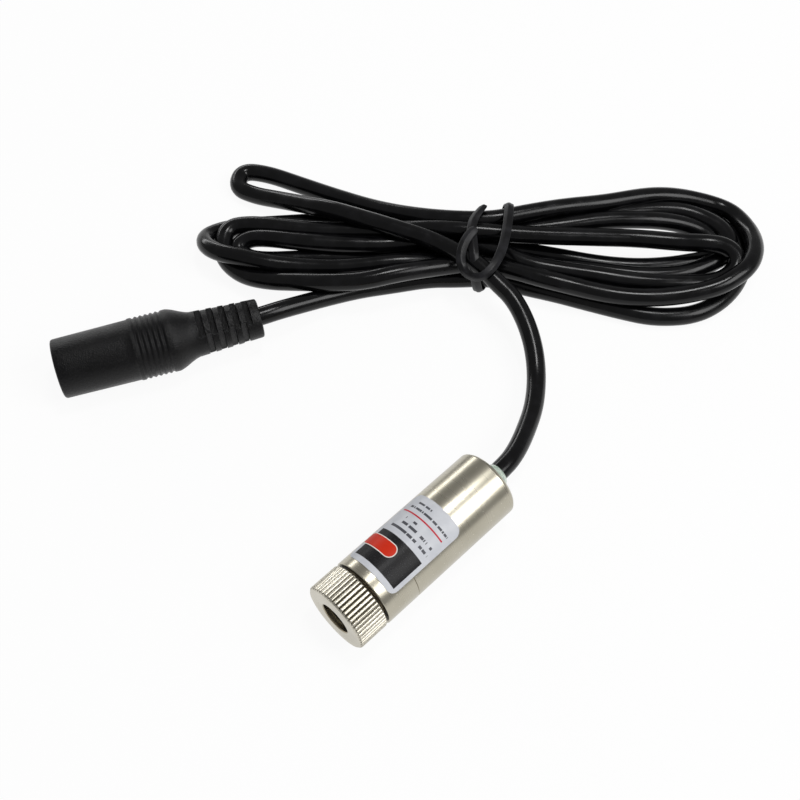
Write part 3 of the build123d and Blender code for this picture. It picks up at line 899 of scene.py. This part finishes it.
@dataclass
class Driver:
    """The laser diode, board, components and cores inside the barrel, which keep their CAD shapes."""

    gold: PlatedContact = PlatedContact("gold_plate", "d9b060", "a87f35")
    window: ClearGlass = ClearGlass("window_glass")
    solder_mask: SpeckledPlastic = SpeckledPlastic("fibreglass_board_green", "1f6a3c", "2d8850", 0.3, 0.35)
    epoxy: SpeckledPlastic = SpeckledPlastic("epoxy_black", "17171a", "2c2c30", 0.12, 0.45)
    ceramic: SpeckledPlastic = SpeckledPlastic("ceramic_tan", "a98a62", "c4a77d", 0.1, 0.4)
    resistor: SpeckledPlastic = SpeckledPlastic("ceramic_dark_glaze", "26262b", "4a4a52", 0.1, 0.3)
    nylon: SpeckledPlastic = SpeckledPlastic("nylon_pale", "d9d6cb", "bfb9a6", 0.2, 0.4)
    red_vinyl: SpeckledPlastic = SpeckledPlastic("pvc_core_red", "b3231f", "c9473d", 0.2, 0.35)
    black_vinyl: SpeckledPlastic = SpeckledPlastic("pvc_core_black", "151517", "29292c", 0.2, 0.35)

    def build(self, finishes: Finishes) -> None:
        """Gives each CAD node inside the barrel its material."""
        for finish, nodes in (
            (self.gold, ("diode_header", "diode_can")), (self.window, ("diode_window",)),
            (self.gold, ("diode_submount", "diode_leads")), (self.solder_mask, ("driver_board",)),
            (self.epoxy, ("driver_chip", "driver_transistor")), (self.resistor, ("driver_resistors",)),
            (self.ceramic, ("driver_capacitor",)), (self.nylon, ("power_trimmer",)),
            (self.red_vinyl, ("positive_core",)), (self.black_vinyl, ("negative_core",)),
        ):
            for node in nodes:
                dress(node, finishes.get(finish))


@dataclass
class Socket:
    """The inline socket: barrel, ribbed collar, taper and slotted strain relief. Sizes in millimetres."""

    lip: tuple[tuple[float, float], ...] = ((0.0, 4.93), (0.06, 5.08), (0.2, 5.22), (0.4, 5.28))
    mouth: tuple[tuple[float, float], ...] = (
        (14.0, 0.0), (14.0, 3.95), (1.0, 3.95), (1.0, 3.62), (0.12, 3.6), (0.02, 3.75), (0.0, 3.9),
    )
    mouth_radius: float = 5.28
    barrel_radius: float = 5.45
    collar_radius: float = 5.6
    barrel_length: float = 13.3
    collar_length: float = 7.0
    taper_length: float = 3.9
    relief_length: float = 12.0
    root_radius: float = 4.1
    end_radius: float = 3.5
    rib_count: int = 7
    groove: float = 0.3
    groove_depth: float = 0.24
    groove_width: float = 0.7
    steps_per_rib: int = 12
    slot_count: int = 5
    slot_length: float = 1.05
    slot_pitch: float = 2.1
    slot_start: float = 1.4
    slot_depth: float = 1.35
    slot_edge: float = 0.04
    cable_radius: float = 1.7
    cable_depth: float = 7.0

    @property
    def collar_end(self) -> float:
        """Where the collar ends and the taper begins."""
        return self.barrel_length + self.collar_length

    @property
    def relief(self) -> float:
        """Where the strain relief begins."""
        return self.collar_end + self.taper_length

    @property
    def rib_pitch(self) -> float:
        """From one rib to the next."""
        return (self.collar_length - 2 * self.groove) / self.rib_count

    def stations(self) -> list[tuple[float, float]]:
        """Lists the outside's (along, radius) points, close together where ribs and slots are cut."""
        end = self.relief + self.relief_length
        points = list(self.lip)
        swell = (self.barrel_radius - self.mouth_radius) / self.barrel_length
        points += [(2.0 * step, self.mouth_radius + swell * 2.0 * step) for step in range(1, 7)]
        start = self.barrel_length + self.groove
        points += [(self.barrel_length, self.barrel_radius),
                   (self.barrel_length + 0.2, self.barrel_radius + 0.09), (start, self.collar_radius)]
        steps = self.steps_per_rib
        points += [(start + self.rib_pitch * step / steps, self.collar_radius)
                   for step in range(1, steps * self.rib_count + 1)]
        points.append((self.collar_end, self.collar_radius))
        for step in range(1, 9):
            share = step / 8
            ease = share * share * (3 - 2 * share) * 0.5 + share * 0.5
            points.append((self.collar_end + self.taper_length * share,
                           self.collar_radius + (self.root_radius - self.collar_radius) * ease))
        cuts = {self.relief + 0.3, end - 0.4}
        for row in range(2 * self.slot_count - 1):
            middle = self.relief + self.slot_start + row * self.slot_pitch / 2
            for side in (-1, 1):
                edge = middle + side * self.slot_length / 2
                cuts.update((round(edge - self.slot_edge, 3), round(edge + self.slot_edge, 3)))
        for cut in sorted(cuts):
            share = (cut - self.relief) / self.relief_length
            points.append((cut, self.root_radius + (self.end_radius - self.root_radius) * share))
        points += [(end - 0.12, self.end_radius - 0.08), (end, self.end_radius - 0.35)]
        return points

    def relieve(self, piece: bpy.types.Object, material: bpy.types.Material) -> bpy.types.Object:
        """Cuts the collar's grooves and the strain relief's staggered slots by rule.

        Args:
            piece: The smooth moulding.
            material: The finish it ends in.

        Returns:
            The moulding with its grooves and slots.
        """
        rule = RuleTree("ribs_and_slots", {
            "Mouth X": JACK_SPINDLE.origin[0] * MM, "Mouth Y": JACK_SPINDLE.origin[1] * MM,
            "Axis Height": JACK_SPINDLE.origin[2] * MM, "Rib Start": (self.barrel_length + self.groove) * MM,
            "Rib Pitch": self.rib_pitch * MM, "Rib Count": self.rib_count,
            "Groove Width": self.groove_width * MM,
            "Groove Depth": self.groove_depth * MM, "Slot Start": (self.relief + self.slot_start) * MM,
            "Slot Pitch": self.slot_pitch * MM, "Slot Length": self.slot_length * MM,
            "Slot Depth": self.slot_depth * MM, "Slot Count": self.slot_count, "Outside": 3.0 * MM,
        }, material)
        x, y, z = rule.position()
        east, north, up = x - rule["Mouth X"], y - rule["Mouth Y"], z - rule["Axis Height"]
        ahead_x, ahead_y, _ = JACK_SPINDLE.axis
        along = east * ahead_x + north * ahead_y
        side = east * ahead_y - north * ahead_x
        radius = reach(side, up)
        place = (along - rule["Rib Start"]) / rule["Rib Pitch"]
        nearest = place.step("ROUND").step("MAXIMUM", 1.0).step("MINIMUM", rule["Rib Count"] - 1.0)
        away = (place - nearest).step("ABSOLUTE") * rule["Rib Pitch"]
        cut = away.span(0.0, rule["Groove Width"] * 0.6, rule["Groove Depth"], 0.0, "SMOOTHSTEP")
        # slots above and below, and between them at the sides, half a pitch on and one fewer
        for shift, fewer, facing in ((0.0, 1.0, up), (0.5, 2.0, side)):
            row = (along - rule["Slot Start"]) / rule["Slot Pitch"] - shift
            slot = row.step("ROUND").step("MAXIMUM", 0.0).step("MINIMUM", rule["Slot Count"] - fewer)
            off = (row - slot).step("ABSOLUTE") * rule["Slot Pitch"]
            inside = off.step("LESS_THAN", rule["Slot Length"] * 0.5)
            lean = (facing.step("ABSOLUTE") / radius).step("MAXIMUM", 0.2)
            floor = (radius - rule["Slot Depth"]) / lean
            cut = cut + (radius - floor).step("MAXIMUM", 0.0) * inside
        outside = radius.step("GREATER_THAN", rule["Outside"])
        share = cut * outside * -1.0 / radius.step("MAXIMUM", 0.0001)
        return rule.move(piece, (side * ahead_y, side * -ahead_x, up), share)

    def build(self, finishes: Finishes) -> list[bpy.types.Object]:
        """Makes the moulding and dresses the housing and contacts in its mouth.

        Args:
            finishes: Where the materials come from.

        Returns:
            The socket's pieces.
        """
        end = self.relief + self.relief_length
        outline = self.stations() + [
            (end, self.cable_radius), (end - self.cable_depth, self.cable_radius),
            (end - self.cable_depth, 0.0), *self.mouth,
        ]
        body = plain_mesh("socket_moulding", turned(JACK_SPINDLE, outline, 240), sharp_degrees=40.0)
        body = self.relieve(body, finishes.get(MouldedPvc()))
        deliver(body, Body.MODULE, Slot.MOULDING, "jack_overmould")
        return [body] + [dress(node, finishes.get(finish)) for node, finish in (
            ("jack_housing", SpeckledPlastic("pbt_black", "0c0c0e", "1b1b1e", 0.3, 0.35)),
            ("jack_centre_pin", PlatedContact("nickel_pin", "c8c2b4", "8a8476")),
            ("jack_sleeve_contact", PlatedContact("tin_plate", "c9c9c6", "8f8f8c", 0.3)),
        )]


# The hank's own directions: a place along it, a place across it and a height, from the tie. Millimetres.
TIE_POINT = (-34.8, 53.3)
HANK_TURN = math.radians(44.8)


def hank_place(along: float, across: float, height: float) -> Vector:
    """Gives the world place, in metres, of a place on the hank in millimetres."""
    east = TIE_POINT[0] + along * math.cos(HANK_TURN) - across * math.sin(HANK_TURN)
    north = TIE_POINT[1] + along * math.sin(HANK_TURN) + across * math.cos(HANK_TURN)
    return Vector((east, north, height)) * MM


LEAD_POINTS = (
    (0.0, 13.65, 6.0), (0.0, 20.05, 6.0), (-1.0, 24.1, 5.1), (-2.9, 28.6, 4.0), (-5.6, 33.9, 3.1),
    (-9.4, 38.7, 2.8), (-13.25, 42.05, 4.0), (-17.7, 44.6, 5.3), (-22.5, 46.3, 6.2), (-26.1, 46.1, 7.2),
)
HANK_POINTS = (
    # upper left loop
    (-2.1, -7.7, 7.8), (-6.1, -4.8, 7.9), (-11.5, -1.5, 7.8), (-17.0, 0.6, 7.8), (-24.0, 3.1, 7.8),
    (-30.6, 5.9, 7.2), (-36.5, 9.2, 4.7), (-41.5, 11.8, 2.9), (-45.6, 13.5, 1.9), (-49.6, 15.6, 1.7),
    (-48.9, 20.1, 1.7), (-43.6, 19.4, 1.7), (-37.0, 16.6, 1.7), (-29.0, 12.7, 2.4), (-21.1, 8.6, 3.9),
    (-13.3, 5.2, 6.1), (-6.0, 3.5, 7.4),
    # outer right loop
    (0.5, 3.3, 7.8), (6.5, 5.1, 7.7), (13.7, 7.2, 7.2), (21.6, 8.9, 6.5), (29.0, 11.5, 5.6),
    (33.4, 12.7, 4.7), (37.5, 13.1, 3.8), (41.5, 12.7, 3.1), (44.6, 12.1, 2.5), (47.0, 10.5, 2.6),
    (48.6, 7.3, 3.3), (49.4, 3.5, 4.4), (49.2, -0.5, 5.8), (48.1, -4.1, 6.8), (46.4, -6.8, 7.1),
    (44.0, -8.7, 6.9), (41.4, -10.2, 6.4), (38.3, -11.1, 5.9), (34.0, -11.8, 5.3), (29.1, -12.1, 4.9),
    (23.7, -11.8, 4.8), (19.0, -11.0, 5.0), (14.0, -10.0, 5.6), (9.1, -8.7, 5.8), (3.5, -6.4, 5.2),
    # lower left loop
    (-3.0, -4.9, 5.2), (-10.0, -6.8, 6.2), (-17.0, -9.1, 7.3), (-23.5, -11.0, 7.1), (-29.0, -11.0, 6.5),
    (-35.5, -10.3, 5.6), (-41.0, -9.3, 4.4), (-46.0, -7.3, 3.3), (-49.3, -4.1, 2.9), (-50.5, -1.3, 3.3),
    (-50.0, 3.5, 4.1), (-45.0, 4.1, 4.5), (-37.7, 3.0, 4.6), (-30.2, 2.4, 4.8), (-23.0, 2.5, 4.9),
    (-16.5, 2.3, 5.7), (-11.0, 1.6, 7.0), (-5.8, 0.7, 7.8),
    # raised right loop
    (0.0, 0.5, 7.5), (6.0, 0.5, 7.0), (12.5, 0.7, 6.5), (20.4, 1.0, 6.0), (27.8, 1.2, 5.6), (35.2, 0.2, 5.9),
    (40.0, -0.7, 6.9), (43.3, -1.1, 6.7), (45.4, -2.7, 6.0), (45.3, -5.0, 5.1), (43.2, -6.9, 4.5),
    (40.6, -7.9, 4.4), (38.7, -8.2, 4.4), (35.0, -8.5, 4.6), (29.5, -8.5, 4.8), (24.5, -8.1, 4.9),
    (19.5, -7.2, 5.0), (13.0, -6.1, 4.9), (6.5, -5.0, 5.1),
    # left loop
    (0.5, -1.0, 5.0), (-6.0, -0.8, 4.3), (-12.0, -2.3, 3.1), (-17.0, -3.1, 2.2), (-22.0, -2.9, 2.2),
    (-27.3, -1.9, 2.2), (-35.8, -2.4, 2.3), (-42.0, -3.0, 2.4), (-45.8, -2.7, 2.7), (-48.0, -0.8, 3.2),
    (-45.8, 1.1, 3.9), (-42.0, 0.8, 4.5), (-36.0, -0.3, 4.9), (-27.4, -0.9, 5.0), (-18.0, -0.6, 4.7),
    (-9.0, 1.6, 4.3),
    # inner right loop
    (0.5, 2.7, 4.4), (7.0, 3.2, 5.2), (14.0, 3.9, 5.7), (21.2, 5.4, 5.8), (28.9, 5.9, 5.5), (33.5, 6.2, 4.8),
    (37.4, 6.0, 4.0), (40.8, 5.1, 3.1), (42.9, 3.3, 2.4), (42.7, 1.0, 1.9), (40.2, -0.6, 1.7),
    (37.6, -1.2, 1.7), (34.5, -1.9, 1.7), (29.5, -2.5, 1.7), (24.3, -2.4, 1.7), (19.0, -1.7, 1.7),
    (13.1, -0.4, 1.7), (6.0, 1.0, 1.7),
    # inner left loop
    (0.5, 0.7, 2.4), (-6.0, 0.5, 1.7), (-14.0, 0.3, 1.7), (-22.0, 0.9, 1.7), (-28.0, 0.9, 1.7),
    (-33.4, 0.6, 1.7), (-35.7, 2.5, 1.8), (-33.6, 4.7, 2.0), (-29.0, 4.9, 2.2), (-21.0, 3.6, 2.5),
    (-14.0, 3.4, 3.4), (-6.0, 5.3, 4.5),
    # middle right loop
    (0.5, 5.9, 4.7), (7.0, 6.5, 4.7), (14.0, 6.7, 4.2), (21.3, 8.1, 4.0), (29.2, 9.5, 3.8), (33.5, 9.8, 3.8),
    (37.5, 9.5, 3.8), (41.3, 7.8, 3.8), (44.3, 5.1, 4.0), (45.4, 1.9, 3.8), (44.2, -0.7, 3.4),
    (41.0, -2.9, 3.3), (36.5, -5.0, 3.3), (31.5, -5.7, 3.2), (26.0, -5.6, 3.2), (20.4, -4.6, 3.1),
    (13.0, -3.3, 2.6), (6.0, -3.2, 2.1),
    # outer left loop
    (0.5, -3.2, 2.4), (-6.0, -3.8, 3.4), (-12.0, -4.6, 4.9), (-18.0, -5.4, 5.7), (-27.2, -6.5, 5.0),
    (-35.6, -6.3, 5.0), (-41.3, -6.2, 5.7), (-46.5, -5.2, 6.2), (-50.6, -4.1, 6.0), (-53.4, -1.6, 4.9),
    (-54.0, 1.8, 3.2), (-51.5, 4.5, 2.0), (-47.0, 5.9, 1.7), (-39.2, 6.7, 1.7), (-31.0, 7.5, 1.7),
    (-22.0, 7.2, 1.7), (-12.0, 6.5, 1.7), (-5.0, 4.6, 1.7),
    # lowest right loop
    (0.5, 4.0, 2.4), (6.5, 5.5, 1.7), (13.0, 8.0, 1.7), (22.0, 10.3, 1.7), (29.0, 11.6, 1.7),
    (35.0, 12.0, 1.7), (39.5, 11.3, 1.7), (43.3, 9.3, 1.7), (46.1, 6.1, 1.7), (47.7, 2.5, 1.7),
    (47.8, -1.2, 1.7), (46.6, -4.9, 1.7), (44.3, -8.3, 1.7), (41.5, -11.0, 1.7), (38.3, -12.9, 1.7),
    (34.5, -13.9, 1.7), (29.1, -14.0, 1.7), (23.7, -12.6, 1.7), (18.0, -10.9, 1.7), (12.0, -9.0, 1.7),
    (6.0, -7.5, 1.7),
    # in under the tie
    (0.0, -6.0, 2.3), (-6.0, -6.0, 1.7), (-11.5, -6.1, 1.7),
)
TAIL_POINTS = (
    (-42.2, 35.3, 1.7), (-45.3, 29.9, 2.3), (-47.6, 24.3, 3.1), (-49.2, 18.9, 4.3), (-50.4, 14.6, 5.3),
    (-51.6, 11.0, 5.6), (-54.46, 4.58, 5.6),
)
TIE_POINTS = (
    (-1.4, 4.9, 9.9), (-2.2, 3.6, 10.1), (-3.4, 1.6, 10.15), (-3.9, -1.0, 10.15), (-3.6, -4.4, 10.15),
    (-3.4, -7.1, 9.7), (-3.2, -8.8, 7.4), (-2.7, -9.1, 3.6), (-2.0, -8.2, 0.5), (-0.4, -4.0, 0.3),
    (1.2, 2.0, 0.3), (2.4, 6.8, 0.45), (3.0, 8.2, 3.2), (3.2, 7.2, 7.2), (3.3, 5.6, 9.8),
    (3.1, 2.6, 10.15), (2.6, -1.3, 10.15), (1.6, -6.1, 10.3), (0.0, -9.8, 10.3), (-2.2, -11.6, 9.2),
    (-4.8, -10.4, 8.6), (-6.0, -7.9, 9.4), (-5.5, -5.1, 10.4), (-4.4, -3.0, 10.9), (-3.2, -1.6, 11.2),
)


def smooth_line(name: str, points: Iterable[Vector]) -> bpy.types.Object:
    """Makes a curve of one open spline that runs smoothly by its control points, given in metres."""
    places = list(points)
    data = bpy.data.curves.new(name, "CURVE")
    data.dimensions = "3D"
    data.resolution_u = 8
    spline = data.splines.new("NURBS")
    spline.points.add(len(places) - 1)
    for point, place in zip(spline.points, places):
        point.co = (*place, 1.0)
    spline.order_u = 3
    spline.use_endpoint_u = True
    return new_object(name, data)


def read_line(points: Iterable[Vector]) -> list[Vector]:
    """Gives the places along a smooth line of these control points, all in metres."""
    line = smooth_line("guide", points)
    graph = bpy.context.evaluated_depsgraph_get()
    data = bpy.data.meshes.new_from_object(line.evaluated_get(graph))
    places = [vert.co.copy() for vert in data.vertices]
    bpy.data.meshes.remove(data)
    bpy.data.objects.remove(line)
    return places


@dataclass
class Cable:
    """The round two-core cable, from the barrel through its tied hank to the socket. Sizes in metres."""

    diameter: float = 0.0034
    length: float = 1.11
    exit: Point = (0.0, 0.01625, 0.006)

    def route(self) -> list[Vector]:
        """Lists the route's points from the barrel to the socket."""
        lead = [Vector(point) * MM for point in LEAD_POINTS]
        tail = [Vector(point) * MM for point in TAIL_POINTS]
        return lead + [hank_place(*point) for point in HANK_POINTS] + tail

    def build(self, finishes: Finishes, fittings: list[bpy.types.Object]) -> None:
        """Args:
            finishes: Where the materials come from.
            fittings: Not used.
        """
        piece = smooth_line("power_cable", self.route())
        piece.data.bevel_depth = self.diameter / 2
        piece.data.bevel_resolution = 7
        piece.data.use_fill_caps = True
        piece.data.materials.append(finishes.get(CableVinyl()))
        deliver(piece, Body.MODULE, Slot.VINYL, "cable_lead", "cable_hank", "cable_tail")


@dataclass
class TwistTie:
    """The covered wire tie: a flat strip with a wire bead, round the hank and looped. Sizes in millimetres."""

    half_width: float = 0.9
    half_thickness: float = 0.26
    wire: float = 0.42
    section_steps: int = 20
    heart: tuple[float, float] = (-0.8, 5.0)
    end_sizes: tuple[float, ...] = (0.72, 0.95, 1.0)

    def section(self) -> list[tuple[float, float]]:
        """Lists the strip's outline as (across, up): thin rounded edges and a bead over the wire."""
        points = []
        for step in range(self.section_steps):
            angle = 2 * math.pi * step / self.section_steps
            across = self.half_width * math.cos(angle)
            bead = max(0.0, 1 - (across / self.wire) ** 2) ** 0.5 * (self.wire - self.half_thickness)
            points.append((across, math.sin(angle) * (self.half_thickness + bead)))
        return points

    def build(self, finishes: Finishes) -> bpy.types.Object:
        """Makes the tie along its line, its flat side turned to the hank's heart."""
        places = read_line(hank_place(*point) for point in TIE_POINTS)
        along = Vector((math.cos(HANK_TURN), math.sin(HANK_TURN), 0.0))
        heart = hank_place(0.0, *self.heart)
        mesh = bmesh.new()
        rings = []
        last = len(places) - 1
        for index, place in enumerate(places):
            ahead = (places[min(index + 1, last)] - places[max(index - 1, 0)]).normalized()
            out = place - heart - along * (place - heart).dot(along)
            out = (out - ahead * out.dot(ahead)).normalized()
            side = ahead.cross(out)
            size = self.end_sizes[min(index, last - index, len(self.end_sizes) - 1)]
            rings.append([mesh.verts.new(place + (side * across + out * up) * size * MM)
                          for across, up in self.section()])
        for here, there in zip(rings, rings[1:]):
            for index in range(len(here)):
                follow = (index + 1) % len(here)
                mesh.faces.new((here[index], here[follow], there[follow], there[index]))
        mesh.faces.new(rings[0])
        mesh.faces.new(rings[-1])
        material = finishes.get(CableVinyl("pvc_tie_black", "0d0d0f", "222226", 0.34))
        strip = plain_mesh("twist_tie_strip", mesh, material, 50.0)
        return deliver(strip, Body.MODULE, Slot.TIE, "twist_tie")


@dataclass
class Studio:
    """The floor, the world, the lamps and the camera. Sizes in metres."""

    eye: Point = (0.05308, -0.05525, 0.17444)
    target: Point = (-0.02398, 0.01924, 0.0)
    lens: float = 52.07
    world_level: float = 0.3
    floor_size: float = 6.0
    floor_glow: float = 0.93
    # each lamp: its name, place, target, sides and power in watts
    lamps: tuple[tuple[str, Point, Point, tuple[float, float], float], ...] = (
        ("softbox_right", (0.36, 0.2, 0.45), (-0.02, 0.02, 0.0), (0.32, 0.32), 1.9),
        ("lamp_above", (-0.02, 0.16, 0.6), (-0.03, 0.03, 0.0), (0.13, 0.13), 1.0),
        ("strip_left", (-0.5, 0.14, 0.12), (-0.03, 0.03, 0.0), (0.4, 0.06), 0.5),
    )

    def floor(self) -> None:
        """Lays the floor, which the camera and the gloss see as white, and which keeps a soft shadow."""
        mesh = bmesh.new()
        bmesh.ops.create_grid(mesh, x_segments=2, y_segments=2, size=self.floor_size / 2)
        shade = Shade("paper_white")
        rays = add_node(shade.tree, "ShaderNodeLightPath").outputs
        seen = Wire(rays["Is Camera Ray"]).step("MAXIMUM", rays["Is Glossy Ray"])
        seen = seen.step("MAXIMUM", rays["Is Transmission Ray"])
        tone = shade.blend(shade.noise(700.0).span(0.3, 0.7, 0.0, 0.3), "f4f4f4", "ededed")
        paper = add_node(shade.tree, "ShaderNodeBsdfDiffuse", {"Color": tone})
        glow = add_node(shade.tree, "ShaderNodeEmission", {"Color": WHITE, "Strength": 1.0})
        mixed = add_node(shade.tree, "ShaderNodeMixShader", {
            0: seen * self.floor_glow, 1: paper.outputs[0], 2: glow.outputs[0],
        })
        feed(shade.output.inputs["Surface"], mixed.outputs[0])
        plain_mesh("floor", mesh, shade.material)

    def world(self) -> None:
        """Lights the surroundings grey, and shows them white to the camera."""
        world = bpy.data.worlds.new("studio")
        world.use_nodes = True
        tree = world.node_tree
        tree.nodes.clear()
        rays = add_node(tree, "ShaderNodeLightPath")
        dim, white = [
            add_node(tree, "ShaderNodeBackground", {"Color": WHITE, "Strength": level}).outputs[0]
            for level in (self.world_level, 1.0)
        ]
        mixed = add_node(tree, "ShaderNodeMixShader", {0: rays.outputs["Is Camera Ray"], 1: dim, 2: white})
        add_node(tree, "ShaderNodeOutputWorld", {"Surface": mixed.outputs[0]})
        bpy.context.scene.world = world

    def light(self) -> None:
        """Hangs the lamps."""
        for name, place, target, size, power in self.lamps:
            data = bpy.data.lights.new(name, "AREA")
            data.shape = "RECTANGLE"
            data.size, data.size_y = size
            data.energy = power
            aim(new_object(name, data), place, target)

    def camera(self) -> None:
        """Sets the camera at the photograph's place."""
        data = bpy.data.cameras.new("camera")
        data.lens = self.lens
        data.sensor_width = 36.0
        data.clip_start = 0.005
        bpy.context.scene.camera = new_object("camera", data)
        aim(bpy.context.scene.camera, self.eye, self.target)

    def build(self) -> None:
        """Sets up the studio."""
        self.floor()
        self.world()
        self.light()
        self.camera()
        bpy.context.scene.view_settings.view_transform = "Standard"


def main() -> None:
    """Builds the module, its cable and socket, and the studio round them."""
    logging.basicConfig(level=logging.INFO, format="%(message)s")
    finishes = Finishes()
    FocusCap().build(finishes)
    Barrel().build(finishes)
    Driver().build(finishes)
    fittings = Socket().build(finishes)
    fittings.append(TwistTie().build(finishes))
    Cable().build(finishes, fittings)
    Studio().build()


if __name__ == "__main__":
    main()
